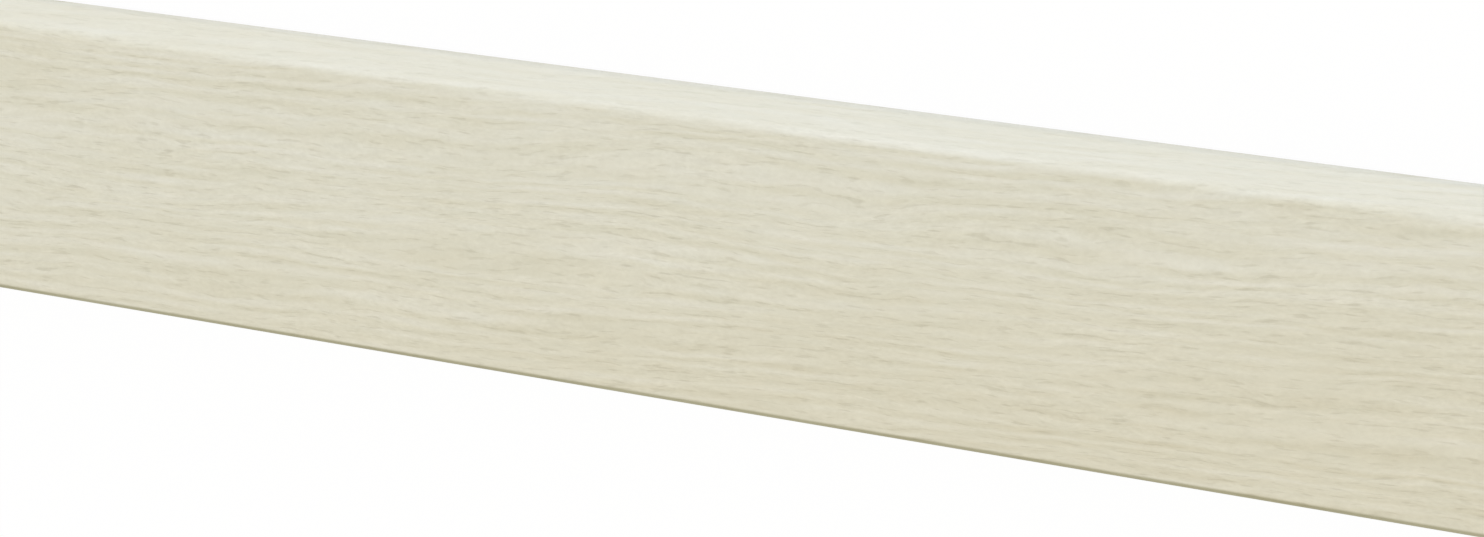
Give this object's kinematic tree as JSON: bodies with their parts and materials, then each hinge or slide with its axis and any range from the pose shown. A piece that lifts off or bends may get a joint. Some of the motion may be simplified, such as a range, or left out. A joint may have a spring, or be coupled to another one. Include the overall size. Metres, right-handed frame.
{
  "type": "skirting board",
  "caption": "Straight square-topped skirting board with softly rounded corners and a pale limed wood-grain finish, square cut at both ends.",
  "frame": {"origin": "middle of the back, on the floor that the board lies on", "axes": "+X along the board, to the right for someone who faces it on a wall, +Y from its foot to its top edge, +Z out of its face"},
  "size_m": [2.4, 0.06, 0.014],
  "materials": {
    "limed_oak_foil": "satin"
  },
  "bodies": {
    "root": {"skirting_board": "limed_oak_foil"}
  },
  "joints": []
}
